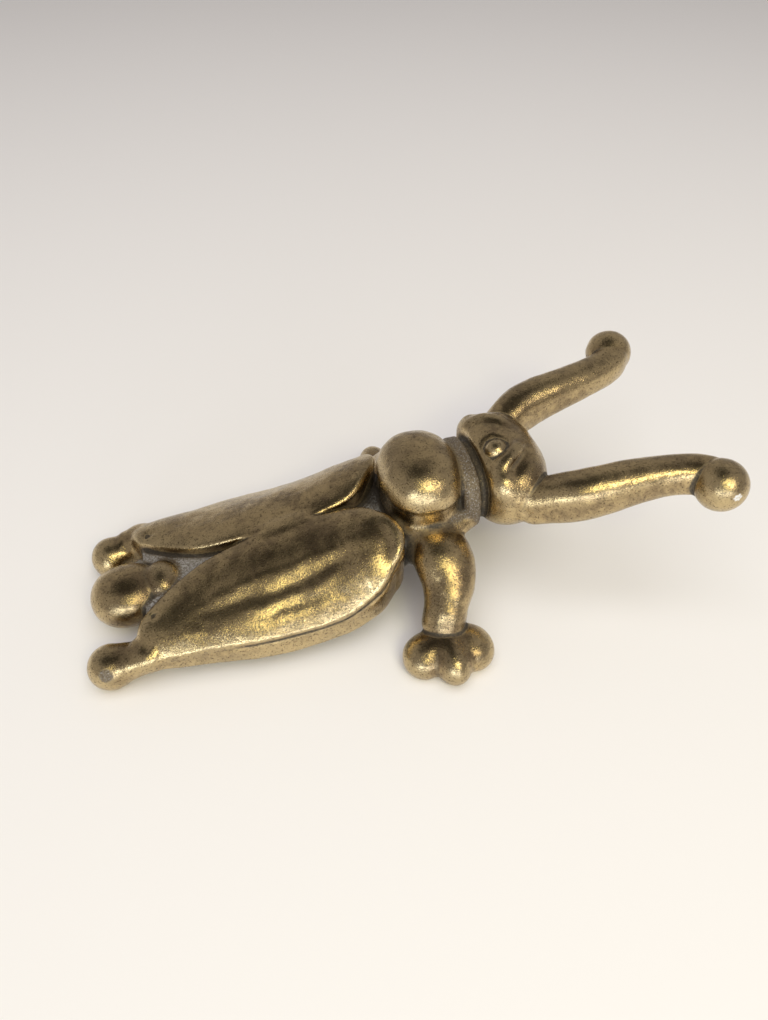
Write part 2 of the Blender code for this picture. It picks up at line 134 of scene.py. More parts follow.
def tube(stations, power=2.3, low_power=None, samples=56):
    """Distance to a limb along stations of x, y, z, half width, half height, with rounded ends.

    power squares up the section; low_power does so for its lower half.
    """
    path = spline(stations, samples)
    centre = path[:, :3]
    forward = np.gradient(centre, axis=0)
    step = np.linalg.norm(forward, axis=1, keepdims=True)
    forward /= step
    side = np.cross(forward, (0.0, 0.0, 1.0))
    side /= np.linalg.norm(side, axis=1, keepdims=True)
    up = np.cross(side, forward)
    low_power = low_power or power

    def shape(x, y, z):
        full = np.broadcast(x, y, z).shape
        best = np.full(full, 1e9, np.float32)
        index = np.zeros(full, np.int32)
        for i, c in enumerate(centre):
            d = (x - c[0]) ** 2 + (y - c[1]) ** 2 + (z - c[2]) ** 2
            near = d < best
            best = np.where(near, d, best)
            index[near] = i
        p = np.stack([np.broadcast_to(v, full) for v in (x, y, z)], -1).astype(np.float32)
        along = np.einsum("...i,...i", p - centre[index], forward[index])
        place = index + along / step[index, 0]
        inner = np.clip(place, 0, samples - 1.001)
        base = inner.astype(np.int32)
        mix = (inner - base)[..., None]

        def at(values):
            return values[base] * (1 - mix) + values[base + 1] * mix
        rel = p - at(centre)
        wide, high = at(path[:, 3:4])[..., 0], at(path[:, 4:5])[..., 0]
        u = np.abs(np.einsum("...i,...i", rel, at(side))) / wide + 1e-4
        v = np.einsum("...i,...i", rel, at(up)) / high
        out = np.abs(place - inner) * step[base, 0] / np.minimum(wide, high)
        e = np.where(v > 0, power, low_power)
        v = np.abs(v) + 1e-4
        level = (u ** e + v ** e + out ** e) ** (1 / e)
        slope = np.sqrt((u ** (e - 1) / wide) ** 2 + (v ** (e - 1) / high) ** 2
                        + (out ** (e - 1) / np.minimum(wide, high)) ** 2) * level ** (1 - e)
        return (level - 1.0) / np.maximum(slope, 1e-3)
    reach = path[:, 3:].max(1, keepdims=True)
    low = (centre - reach).min(0) - LUMP_MARGIN
    high = (centre + reach).max(0) + LUMP_MARGIN
    return shape, low, high


def limb(stations, k, **more):
    shape, low, high = tube(stations, **more)
    add(shape, low, high, k)


def smooth_step(value, low, high):
    t = np.clip((value - low) / (high - low), 0, 1)
    return t * t * (3 - 2 * t)


def squared_circle(a, b, power):
    """Level of a superellipse with unit half axes: 1 on its edge, less inside."""
    return (np.abs(a) ** power + np.abs(b) ** power + 1e-6) ** (1 / power)


# ---- Wings ---------------------------------------------------------------------------------------
# x, inner edge (y, z), crease (y, z), rim z, and the two bulges of the dome.
WING = (
    (-94.0, 29.0, 13.5, 33.0, 12.0, 9.0, 0.6, 0.8),
    (-90.0, 25.0, 17.5, 34.8, 14.0, 8.6, 1.5, 2.0),
    (-86.0, 20.0, 21.6, 36.4, 15.8, 7.6, 2.5, 4.2),
    (-76.0, 12.2, 25.0, 37.7, 17.0, 6.4, 2.4, 6.2),
    (-61.0, 4.5, 28.2, 38.6, 17.6, 5.0, 2.3, 7.6),
    (-44.0, 1.2, 32.0, 40.5, 18.0, 4.5, 3.2, 8.6),
    (-28.0, 0.6, 34.6, 40.8, 18.2, 4.5, 3.8, 10.0),
    (-11.0, 0.6, 37.2, 40.2, 20.0, 6.0, 5.6, 12.2),
    (0.0, 1.8, 39.0, 38.3, 24.4, 8.6, 6.6, 13.0),
    (7.0, 5.0, 41.2, 36.1, 28.5, 11.4, 5.2, 10.6),
    (12.4, 10.5, 42.6, 31.6, 34.6, 14.0, 3.2, 5.0),
    (16.0, 15.5, 42.9, 28.4, 38.6, 15.6, 1.2, 1.6),
    (18.4, 20.0, 42.2, 26.0, 40.6, 16.4, 0.3, 0.4),
)
WING_STATIONS = 160
INNER_LEVER = 0.33       # where the dome's two bulges lie, as shares of the wing's width
OUTER_LEVER = 0.25
rows = spline(WING, WING_STATIONS)
crease_y, crease_z, rim_z = (
    np.interp(X_AXIS, rows[:, 0], rows[:, c]).astype(np.float32) for c in (3, 4, 5))
wing_top = np.zeros((len(X_AXIS), len(Y_AXIS)), np.float32)
weights = [(w * (1 - t) ** (3 - n) * t ** n) for t in [np.linspace(0, 1, 25)]
           for n, w in enumerate((1, 3, 3, 1))]
for i, x in enumerate(X_AXIS):
    y0, z0, y1, z1, rise, drop = (np.interp(x, rows[:, 0], rows[:, c]) for c in (1, 2, 3, 4, 6, 7))
    width = y1 - y0
    knots = ((y0, z0), (y0 + INNER_LEVER * width, z0 + rise), (y1 - OUTER_LEVER * width, z1 + drop), (y1, z1))
    curve = [sum(w * k[c] for w, k in zip(weights, knots)) for c in (0, 1)]
    wing_top[i] = np.interp(Y_AXIS, curve[0], curve[1])


def plan_distance(outline):
    """Signed distance, in plan, from each grid column to a closed outline; negative inside."""
    x = X_AXIS[:, None]
    y = Y_AXIS[None, :]
    best = np.full((len(X_AXIS), len(Y_AXIS)), 1e9)
    inside = np.zeros(best.shape, bool)
    for (ax, ay), (bx, by) in zip(outline, np.roll(outline, -1, axis=0)):
        dx, dy = bx - ax, by - ay
        t = np.clip(((x - ax) * dx + (y - ay) * dy) / (dx * dx + dy * dy + 1e-9), 0, 1)
        best = np.minimum(best, (x - ax - t * dx) ** 2 + (y - ay - t * dy) ** 2)
        crosses = ((ay > y) != (by > y)) & (x < (bx - ax) * (y - ay) / (by - ay + 1e-12) + ax)
        inside ^= crosses
    return np.where(inside, -np.sqrt(best), np.sqrt(best)).astype(np.float32)


EDGE_IN_END = 16.5       # the front end of the wing is rounded beyond these places
EDGE_OUT_END = 12.6
edge_in = [(r[0], r[1]) for r in rows if r[0] < EDGE_IN_END]
edge_out = [(r[0], r[3]) for r in rows if r[0] < EDGE_OUT_END][::-1]
tip = spline([edge_in[-1], (18.3, 22.0), (17.6, 27.0), (15.0, 30.2), edge_out[0]], 14)[1:-1]
wing_plan = plan_distance(np.array(edge_in + [tuple(p) for p in tip] + edge_out))
slope_x, slope_y = np.gradient(wing_top, CELL)
steep = (1.0 / np.sqrt(1.0 + slope_x ** 2 + slope_y ** 2)).astype(np.float32)


def at_x(profile, x):
    """Values of a profile along x, for a window of the grid."""
    return profile[np.searchsorted(X_AXIS, x[:, 0, 0])][:, None, None]


def at_column(plan, x, y):
    """Values of a plan map, for a window of the grid."""
    pick = np.ix_(np.searchsorted(X_AXIS, x[:, 0, 0]), np.searchsorted(Y_AXIS, y[0, :, 0]))
    return plan[pick][..., None]


WALL_SPREAD = 0.05       # outward lean of the side wall under the crease
UNDERCUT = 0.8           # furrow in the side wall, this deep and this far under the crease
UNDERCUT_DROP = 3.4
UNDERCUT_WIDE = 1.2
BEVEL = (0.87, 0.5)      # direction of the steep band above the crease: outward and up
BEVEL_DROP = 1.2
BEVEL_OFF = 30.0         # moves the bevel clear of the wing where there is none


def wing(x, y, z):
    plan = at_column(wing_plan, x, y)
    top = (z - at_column(wing_top, x, y)) * at_column(steep, x, y)
    crease = at_x(crease_z, x)
    below = np.clip(crease - z, 0, 30)
    outer = smooth_step(y, 12.0, 22.0)
    undercut = np.exp(-((crease - UNDERCUT_DROP - z) / UNDERCUT_WIDE) ** 2) * smooth_step(x, -72.0, -44.0)
    wall = plan + outer * (WALL_SPREAD * below + UNDERCUT * undercut)
    round_edge = 1.4 - 0.7 * outer + 1.6 * smooth_step(x, -2.0, 12.0)
    round_edge = round_edge + 1.4 * (1 - smooth_step(x, -92.0, -80.0))
    bevel = BEVEL[0] * plan + BEVEL[1] * (z - crease + BEVEL_DROP)
    bevel = bevel - BEVEL_OFF * (1 - outer) - BEVEL_OFF * smooth_step(x, 0.0, 9.0)
    bevel = bevel - BEVEL_OFF * (1 - smooth_step(x, -88.0, -82.0))
    top = smooth_max(top, bevel, 2.2)
    shell = smooth_max(wall, top, round_edge)
    return smooth_max(shell, at_x(rim_z, x) - z, 2.0)


# ---- Belly, trough and hollows -------------------------------------------------------------------
TROUGH_REAR_X, TROUGH_LONG = -90.0, 121.5
TROUGH_REAR_Z, TROUGH_RISE = 17.5, 16.5
BELLY_SHY = 3.0          # the belly stays this far under the wings and inside their crease
BELLY_ROOF_WALL = 3.0
BELLY_SKIN = 7.0         # metal between the hollow and the top of the wings
BELLY_SIDE_WALL = 6.4


def trough_height(x):
    share = np.clip((x - TROUGH_REAR_X) / TROUGH_LONG, 0, 1)
    return TROUGH_REAR_Z + TROUGH_RISE * share ** 0.8


def belly(x, y, z):
    half = np.minimum(at_x(crease_y, x) - BELLY_SHY, 36.0 - 0.9 * np.clip(x - 2.0, 0, 30))
    ends = np.maximum(x - 24.0, -85.5 - x)
    low = np.maximum(at_x(rim_z, x) + 0.5, 0) - z
    roof = np.minimum(trough_height(x), at_column(wing_top, x, y) - BELLY_SHY)
    flat = smooth_max(smooth_max(y - half, ends, 3.0), z - roof, 1.2)
    return smooth_max(flat, low, 1.5)


def belly_hollow(x, y, z):
    roof = z - np.minimum(trough_height(x) - BELLY_ROOF_WALL, at_column(wing_top, x, y) - BELLY_SKIN)
    side = y - (at_x(crease_y, x) - BELLY_SIDE_WALL)
    ends = np.maximum(x - 7.0, -81.0 - x)
    return smooth_max(smooth_max(side, ends, 4.0), roof, 3.0)


# ---- Thorax and neck -----------------------------------------------------------------------------
THORAX_X, THORAX_LONG, THORAX_WIDE = 31.5, 16.5, 21.0
THORAX_CREASE_Z, THORAX_TOP_Z = 46.0, 61.5
THORAX_POWER = 2.3
SKIRT_DRAW = (0.965, 0.002)     # the skirt starts drawn in, and draws in further downwards
NECK_POWER, NECK_Z = 2.5, 38.2
NECK_X, NECK_HALF = 49.6, 4.4
NECK_WIDE, NECK_HIGH = 19.0, 16.6
GROOVE_X, GROOVE_HALF = 53.4, 1.4
GROOVE_WIDE, GROOVE_HIGH = 16.4, 14.2


def cushion(x, y, z):
    """Dome over a slightly drawn-in skirt."""
    radii = (THORAX_LONG * 1.015, THORAX_WIDE * 1.015, THORAX_TOP_Z - THORAX_CREASE_Z)
    dome = ellipsoid((THORAX_X, 0, THORAX_CREASE_Z), radii, 2.25)(x, y, z)
    dome = smooth_max(dome, THORAX_CREASE_Z - 1.2 - z, 1.6)
    draw = SKIRT_DRAW[0] - SKIRT_DRAW[1] * np.clip(THORAX_CREASE_Z - z, 0, 20)
    q = squared_circle((x - THORAX_X) / THORAX_LONG, y / THORAX_WIDE, THORAX_POWER)
    skirt = smooth_max((q - draw) * THORAX_LONG, z - THORAX_CREASE_Z, 1.0)
    return smooth_min(dome, skirt, 0.8)


def prism(middle, long, wide, low, high, power, soft):
    """Upright block with a rounded plan, between two heights."""
    def shape(x, y, z):
        q = squared_circle((x - middle) / long, y / wide, power)
        return smooth_max((q - 1) * min(long, wide), np.maximum(z - high, low - z), soft)
    return shape


def neck(x, y, z):
    q = squared_circle(y / NECK_WIDE, (z - NECK_Z) / NECK_HIGH, NECK_POWER)
    return smooth_max((q - 1) * NECK_HIGH, np.abs(x - NECK_X) - NECK_HALF, 3.0)


def neck_groove(x, y, z):
    q = squared_circle(y / GROOVE_WIDE, (z - NECK_Z) / GROOVE_HIGH, NECK_POWER)
    return smooth_max((1 - q) * GROOVE_HIGH, np.abs(x - GROOVE_X) - GROOVE_HALF, 0.8)


# ---- Sculpting, in order -------------------------------------------------------------------------
ROUGH = 1.0              # unrubbed, grey-white brass
DIRTY = 0.5              # dark, speckled brass
FOOT_X, FOOT_Y = 25.8, 55.6


def sculpt_rear():
    add(belly, (-95, 0, -6), (40, 50, 52), 0.8, grit=ROUGH)
    add(wing, (-106, 0, -6), (30, 54, 60), 0.6)
    # swelling where the wing runs into the hind stalk
    lump((-86.4, 31.6, 14.2), (5.6, 5.2, 4.6), 2.4)
    # the wings touch along the middle
    limb(((-43.0, 0.0, 27.0, 1.4, 1.4), (-37.0, 0.0, 30.6, 2.4, 2.2), (-28.0, 0.0, 33.2, 3.4, 2.6),
          (-19.0, 0.0, 34.8, 3.0, 2.4), (-12.0, 0.0, 33.8, 1.6, 1.6)), 3.0, samples=28)
    # tail lobe with its smaller forward swelling
    lump((-92.2, 0, 13.8), (15.2, 13.6, 11.4), 1.2, 2.15)
    lump((-77.8, -0.5, 17.6), (8.4, 9.8, 7.8), 1.6)
    # hind stalk and knob
    limb(((-87.0, 30.4, 12.2, 7.4, 6.2), (-91.5, 30.2, 11.0, 7.2, 6.4), (-96.5, 29.4, 9.2, 7.4, 7.0),
          (-101.0, 28.9, 8.0, 8.0, 7.8)), 1.8)
    lump((-102.4, 28.8, 7.6), (8.1, 8.2, 8.4), 3.0)


def sculpt_middle():
    # shoulder plate, thorax, collar rolls and neck
    add(prism(29.5, 17.2, 23.4, 17.0, 31.6, 2.6, 4.0), (4, 0, 6), (58, 36, 44), 2.0, grit=ROUGH)
    add(prism(38.5, 11.0, 19.0, 22.0, 39.0, 2.8, 3.0), (20, 0, 12), (58, 30, 48), 2.0, grit=0.6)
    add(cushion, (4, 0, 18), (58, 34, 72), 1.6)
    limb(((20.0, 13.0, 33.5, 3.2, 3.4), (26.0, 18.2, 32.6, 3.4, 3.6), (34.0, 20.2, 32.2, 3.4, 3.6),
          (42.0, 19.4, 32.0, 3.0, 3.2), (48.0, 17.0, 32.0, 2.6, 3.0)), 2.6, samples=24)
    add(neck, (40, 0, 12), (62, 30, 64), 1.6, grit=DIRTY)


def sculpt_front():
    # head: skull, cheeks, brow ridges, folds at the antenna roots
    lump((66.4, 0, 41.5), (17.2, 26.4, 18.4), 0.3, 2.35)
    lump((60.8, 16.2, 48.8), (6.4, 8.0, 7.6), 2.0)
    limb(((71.4, 6.2, 56.6, 3.0, 2.6), (68.7, 8.6, 58.0, 3.4, 3.0), (63.8, 12.2, 57.4, 3.6, 3.2),
          (60.2, 14.6, 54.8, 3.4, 3.2), (59.0, 16.5, 51.6, 3.0, 3.0)), 1.2, samples=28)
    cut(neck_groove, (50, 0, 16), (58, 30, 66), 0.8)
    limb(((71.5, 15.0, 52.6, 2.6, 3.2), (70.2, 19.6, 47.0, 3.0, 4.0), (68.2, 24.0, 38.0, 3.0, 4.0)), 2.4,
         samples=20)
    # antennae and their balls
    limb(((74.0, 22.5, 41.5, 8.0, 9.2), (86.0, 28.4, 46.2, 8.9, 10.0), (96.0, 30.6, 48.7, 8.6, 9.6),
          (108.0, 32.0, 50.9, 8.0, 8.6), (120.0, 33.9, 52.4, 7.5, 7.8), (129.5, 36.6, 53.3, 7.3, 7.6),
          (135.0, 40.0, 53.8, 7.2, 7.6), (138.0, 43.5, 53.9, 7.0, 7.5)), 1.0, power=2.2, low_power=3.0)
    lump((137.2, 46.2, 53.8), (10.2, 10.2, 10.2), 0.4)
    # front legs, then feet: heel, two side toes and the middle toe
    limb(((30.0, 18.0, 27.5, 11.0, 8.0), (32.9, 28.0, 27.0, 12.0, 8.8), (32.4, 36.0, 21.5, 11.0, 8.6),
          (29.4, 43.0, 15.5, 8.8, 7.4), (27.0, 47.2, 10.0, 8.6, 7.0)), 1.8, power=2.1, low_power=2.8)
    lump((26.4, 53.2, 2.4), (15.0, 9.2, 9.0), 0.5)
    for along, out, wide, deep in ((-9.0, -1.0, 8.6, 9.2), (10.4, 0.8, 9.0, 9.2)):
        lump((FOOT_X + along, FOOT_Y + out, 1.0), (wide, deep, 8.2), 3.2)
    lump((26.8, 58.6, 2.0), (7.8, 11.6, 9.0), 2.2)


def sculpt_hollows():
    cut(belly_hollow, (-90, 0, -16), (14, 42, 40), 2.0)
    cut(prism(THORAX_X, 10.4, 14.4, -30.0, 52.0, 2.3, 8.0), (16, 0, -6), (46, 22, 56), 2.0)
    cut(prism(68.0, 9.6, 17.0, -30.0, 48.0, 2.3, 8.0), (52, 0, -6), (84, 24, 54), 2.0)


sculpt_rear()
sculpt_middle()
sculpt_front()
sculpt_hollows()
# the soles lie on the floor
ground = (X_AXIS[:, None, None] - PIVOT_X) * math.sin(PITCH) + Z_AXIS[None, None, :] * math.cos(PITCH)
field = smooth_max(field, (SOLE_CLEARANCE - ground).astype(np.float32), 0.5)
field = np.concatenate((field[:, :0:-1], field), axis=1)
gritty = np.concatenate((gritty[:, :0:-1], gritty), axis=1)
Y_AXIS = np.concatenate((-Y_AXIS[:0:-1], Y_AXIS))
# the crown button and its socket sit a little to the right of the middle
dent((60.0, -5.0, 60.6), (6.4, 6.4, 3.8), 1.4)
lump((61.2, -6.6, 58.4), (4.6, 4.4, 4.0), 0.3)


# ---- Skin ----------------------------------------------------------------------------------------
def surface_nets(values):
    """Quads around the zero level, one vertex in each cell that the level crosses."""
    inside = values < 0
    count = np.zeros([n - 1 for n in values.shape], np.int8)
    corners = [(i, j, k) for i in (0, 1) for j in (0, 1) for k in (0, 1)]
    shape = count.shape
    for i, j, k in corners:
        count += inside[i:i + shape[0], j:j + shape[1], k:k + shape[2]]
    cells = np.argwhere((count > 0) & (count < 8))
    index = np.full(shape, -1, np.int32)
    index[tuple(cells.T)] = np.arange(len(cells))
    at_corner = [values[cells[:, 0] + i, cells[:, 1] + j, cells[:, 2] + k] for i, j, k in corners]
    total = np.zeros((len(cells), 3))
    hits = np.zeros(len(cells))
    for a, ca in enumerate(corners):
        for b, cb in enumerate(corners):
            if b <= a or sum(abs(p - q) for p, q in zip(ca, cb)) != 1:
                continue
            fa, fb = at_corner[a], at_corner[b]
            mask = (fa < 0) != (fb < 0)
            t = np.where(mask, fa / np.where(mask, fa - fb, 1), 0)[:, None]
            total += mask[:, None] * (np.array(ca) + t * (np.array(cb) - np.array(ca)))
            hits += mask
    points = cells + total / hits[:, None]
    quads = []
    for axis in range(3):
        first = [slice(1, -1)] * 3
        second = [slice(1, -1)] * 3
        first[axis], second[axis] = slice(0, -1), slice(1, None)
        a, b = inside[tuple(first)], inside[tuple(second)]
        edges = np.argwhere(a != b)
        outward = a[tuple(edges.T)]
        edges += [0 if n == axis else 1 for n in range(3)]
        u, v = [n for n in range(3) if n != axis]
        ring = []
        for du, dv in ((0, 0), (1, 0), (1, 1), (0, 1)):
            cell = edges.copy()
            cell[:, u] -= du
            cell[:, v] -= dv
            ring.append(index[tuple(cell.T)])
        ring = np.stack(ring, 1)
        flip = outward if axis == 1 else ~outward
        ring[flip] = ring[flip][:, ::-1]
        quads.append(ring)
    return points, np.concatenate(quads)


def sample(values, points):
    """Trilinear values of a grid at points given in cells."""
    base = np.clip(points.astype(np.int32), 0, np.array(values.shape) - 2)
    f = points - base
    out = 0
    for i in (0, 1):
        for j in (0, 1):
            for k in (0, 1):
                w = np.abs(1 - i - f[:, 0]) * np.abs(1 - j - f[:, 1]) * np.abs(1 - k - f[:, 2])
                out = out + w * values[base[:, 0] + i, base[:, 1] + j, base[:, 2] + k]
    return out


def gradient(values, points, reach=0.7):
    out = np.zeros_like(points)
    for axis in range(3):
        shift = np.zeros(3)
        shift[axis] = reach
        out[:, axis] = (sample(values, points + shift) - sample(values, points - shift)) / (2 * reach)
    return out


def box_blur(values, cells, passes=3):
    """Near-Gaussian blur by repeated running means."""
    out = values
    for axis in range(3):
        for _ in range(passes):
            pad = [(0, 0)] * 3
            pad[axis] = (cells + 1, cells)
            total = np.cumsum(np.pad(out, pad, mode="edge"), axis=axis, dtype=np.float64)
            size = out.shape[axis]
            span = 2 * cells + 1
            high = np.take(total, np.arange(span, span + size), axis=axis)
            low = np.take(total, np.arange(0, size), axis=axis)
            out = ((high - low) / span).astype(np.float32)
    return out


SETTLE_ROUNDS = 3        # each moves the skin onto the zero level, by at most MAX_STEP cells
MAX_STEP = 0.4
LEAST_SLOPE = 0.09       # lower limit of the squared slope of the field
NEAR_SKIN = 6.0          # the field is clipped to this depth before it is blurred, mm
FINE_BLUR = 1.0          # half widths of the blurs that find creases and hollows, mm
BROAD_BLUR = 3.2

points, quads = surface_nets(field)
for _ in range(SETTLE_ROUNDS):
    value = sample(field, points)
    grad = gradient(field, points)
    move = value[:, None] * grad / np.maximum((grad ** 2).sum(1, keepdims=True), LEAST_SLOPE)
    points = points - np.clip(move, -MAX_STEP, MAX_STEP)
near = np.clip(field, -NEAR_SKIN, NEAR_SKIN)
fine = sample(box_blur(near, max(1, round(FINE_BLUR / CELL))), points)
broad = sample(box_blur(near, round(BROAD_BLUR / CELL)), points)
grit = sample(box_blur(gritty, 1), points)
grad = gradient(field, points)
normal = grad / np.linalg.norm(grad, axis=1, keepdims=True)
body = points * CELL + np.array((X_AXIS[0], Y_AXIS[0], Z_AXIS[0]))


def ridge(points, wide, deep):
    """Push along the normal near a plan curve, fading out at its ends; deep < 0 makes a furrow."""
    path = spline(points, 40)
    best = np.full(len(body), 1e9)
    at = np.zeros(len(body))
    for n, place in enumerate(path):
        d = ((body - place) ** 2 * (1, 1, 0.5)).sum(1)
        at = np.where(d < best, n / 39.0, at)
        best = np.minimum(best, d)
    fade = np.sin(np.pi * np.clip(at * 0.9 + 0.05, 0, 1)) ** 0.6
    return deep * fade * np.exp(-best / (wide * wide))


def waves(seed, count, long, deep):
    """Seeded smooth irregularity, as a sum of slow waves in random directions."""
    rng = np.random.default_rng(seed)
    out = np.zeros(len(body))
    for _ in range(count):
        direction = rng.normal(size=3)
        direction /= np.linalg.norm(direction)
        out += np.sin(body @ direction * (2 * np.pi / (long * rng.uniform(0.7, 1.5))) + rng.uniform(0, 7))
    return out * deep / math.sqrt(count)


def spot(centre, wide):
    """1 in a small round patch around a place on the skin, 0 beyond it."""
    away = np.sqrt(((body - centre) ** 2).sum(1))
    return 1 - smooth_step(away, 0.6 * wide, 1.2 * wide)


# Furrows and ridges worn into the casting: path, half width, height (below 0 for a furrow).
RIDGES = (
    # the near wing: main furrow, the ridge above it, the furrow by the crease
    (((-65.8, -27.8, 24), (-48.3, -26.8, 26.8), (-32.7, -27.2, 28.5), (-18, -25.8, 31.5), (0.2, -24, 37.5)),
     2.8, -0.75),
    (((-62.9, -23.4, 25.5), (-50.7, -21.4, 28), (-37.6, -20.2, 31), (-23.3, -20.2, 33), (1.2, -18.6, 39.5)),
     3.2, 0.65),
    (((-42, -34, 22.8), (-30.3, -33.1, 24.8), (-22.5, -33, 25.5), (-12, -33, 27)), 2.4, -0.55),
    # raised rim at its front end, with a groove inside it
    (((12.5, -14, 43.4), (14.8, -24, 40.6), (11.8, -32.5, 33), (5.3, -36.5, 28.2)), 1.7, 0.5),
    (((7.6, -17, 43), (9.8, -23.9, 39.8), (9.0, -30.5, 35.5)), 2.6, -0.8),
    # the far wing
    (((-60, 26, 36), (-38, 23, 40), (-14, 22, 44)), 5.0, -0.3),
    # dimple at the near wing's rear end
    (((-87.4, -31.5, 19), (-85, -34, 18)), 2.4, -0.9),
)
# The same on both sides, for y above 0: the crease across the hind stalk, the crease beside the brow.
PAIRED_RIDGES = (
    (((-91.4, 18, 17), (-93, 24, 16), (-93.4, 30, 14), (-92.6, 35, 11)), 1.7, -0.8),
    (((72, 10, 57.5), (69.4, 14, 57), (65, 17.8, 55.6), (62, 21, 52)), 2.2, -1.0),
)
LEFT_KNOB_SHIFT = 2.0    # the far hind knob lies a little further forward

push = waves(3, 14, 26.0, 0.16) + waves(5, 18, 9.0, 0.07) + waves(8, 20, 4.5, 0.03)
for path, wide, deep in RIDGES:
    push += ridge(path, wide, deep)
for side in (-1, 1):
    for path, wide, deep in PAIRED_RIDGES:
        push += ridge([(x, y * side, z) for x, y, z in path], wide, deep)
# the relief fades out at the soles and at the casting's outermost places
still = smooth_step(body[:, 2] + (body[:, 0] - PIVOT_X) * math.sin(PITCH), 0.4, 3.0)
front = 1 - smooth_step(body[:, 0], 132.0, 146.0)
sides = 1 - smooth_step(np.abs(body[:, 1]), 62.0, 66.0)
rear = smooth_step(body[:, 0], -110.0, -100.0)
body = body + normal * (push * still * front * sides * rear)[:, None]
left_knob = smooth_step(body[:, 1], 14.0, 20.0) * (1 - smooth_step(body[:, 0], -101.0, -92.0))
body[:, 0] += LEFT_KNOB_SHIFT * left_knob


def to_world(p):
    """Body-frame millimetres to metres on the floor."""
    along = p[:, 0] - PIVOT_X
    x = PIVOT_X + along * math.cos(PITCH) - p[:, 2] * math.sin(PITCH) - X_MIDDLE
    z = along * math.sin(PITCH) + p[:, 2] * math.cos(PITCH)
    return np.stack((x, p[:, 1], z), 1) * MM


world = to_world(body)
mesh = bpy.data.meshes.new("casting")
mesh.vertices.add(len(world))
mesh.vertices.foreach_set("co", world.astype(np.float32).ravel())
mesh.loops.add(quads.size)
mesh.loops.foreach_set("vertex_index", quads.ravel().astype(np.int32))
mesh.polygons.add(len(quads))
mesh.polygons.foreach_set("loop_start", np.arange(0, quads.size, 4, dtype=np.int32))
mesh.update(calc_edges=True)
mesh.polygons.foreach_set("use_smooth", np.ones(len(quads), bool))
mesh.validate()
print("casting", len(world), "vertices", len(quads), "quads")


def store(name, values):
    layer = mesh.attributes.new(name, "FLOAT", "POINT")
    layer.data.foreach_set("value", np.asarray(values, np.float32))


PAINT_FLECK, PAINT_WIDE = (137.3, -56.1, 56.1), 2.3      # white chip on the near antenna ball
WORN_SPOT, WORN_WIDE = (-102.6, -35.6, 12.2), 3.0        # dark, pitted patch on the near hind knob

store("fine", fine)
store("broad", broad)
store("grit", np.maximum(grit, DIRTY * spot(WORN_SPOT, WORN_WIDE)))
store("fleck", spot(PAINT_FLECK, PAINT_WIDE))
casting = bpy.data.objects.new("casting", mesh)
bpy.context.scene.collection.objects.link(casting)
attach(casting, "root")
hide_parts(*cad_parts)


# ---- Materials -----------------------------------------------------------------------------------
def node(tree, kind, **values):
    made = tree.nodes.new(kind)
    for key, value in values.items():
        setattr(made, key, value)
    return made


def link(tree, source, target):
    tree.links.new(source, target)


def math_node(tree, operation, a, b=0.5, clamp=False):
    """A Math node; a and b are sockets or numbers."""
    made = node(tree, "ShaderNodeMath", operation=operation, use_clamp=clamp)
    for socket, value in zip(made.inputs, (a, b)):
        if isinstance(value, (int, float)):
            socket.default_value = value
        else:
            link(tree, value, socket)
    return made.outputs[0]


def map_range(tree, value, low, high, to_low=0.0, to_high=1.0):
    made = node(tree, "ShaderNodeMapRange", interpolation_type="SMOOTHSTEP")
    link(tree, value, made.inputs["Value"])
    made.inputs["From Min"].default_value = low
    made.inputs["From Max"].default_value = high
    made.inputs["To Min"].default_value = to_low
    made.inputs["To Max"].default_value = to_high
    return made.outputs[0]


def mix_colour(tree, share, first, second):
    made = node(tree, "ShaderNodeMix", data_type="RGBA")
    for socket, value in ((made.inputs[0], share), (made.inputs[6], first), (made.inputs[7], second)):
        if isinstance(value, tuple):
            socket.default_value = (*value, 1)
        elif isinstance(value, (int, float)):
            socket.default_value = value
        else:
            link(tree, value, socket)
    return made.outputs[2]


def noise(tree, place, scale, detail=3.0, rough=0.55):
    made = node(tree, "ShaderNodeTexNoise")
    link(tree, place, made.inputs["Vector"])
    made.inputs["Scale"].default_value = scale
    made.inputs["Detail"].default_value = detail
    made.inputs["Roughness"].default_value = rough
    return made.outputs["Fac"]


def pits(tree, place, scale):
    made = node(tree, "ShaderNodeTexVoronoi", feature="F1")
    link(tree, place, made.inputs["Vector"])
    made.inputs["Scale"].default_value = scale
    return made.outputs["Distance"]


def attribute(tree, name):
    return node(tree, "ShaderNodeAttribute", attribute_name=name).outputs["Fac"]


GOLD = (0.55, 0.42, 0.225)
OLIVE = (0.27, 0.20, 0.115)
# lighter brass for high places: rubbed wear, and a painted highlight
RUBBED_AND_HIGHLIGHT = (0.67, 0.54, 0.31)
UMBER = (0.085, 0.062, 0.038)
GRIT = (0.085, 0.066, 0.048)
DUST = (0.40, 0.39, 0.38)
# near-black for creases and hollows: grime, and painted shade
SOOT_AND_SHADE = (0.030, 0.024, 0.018)
PAINT = (0.72, 0.71, 0.70)
BLOTCH_SCALE = 55.0      # noise scales, per metre
MOTTLE_SCALE = 300.0
PIT_SCALE = 800.0
SPECK_SCALE = 1250.0
GRAIN_SCALE = 1700.0
BUMP_STRENGTH = 0.55
BUMP_DEPTH = 0.0007


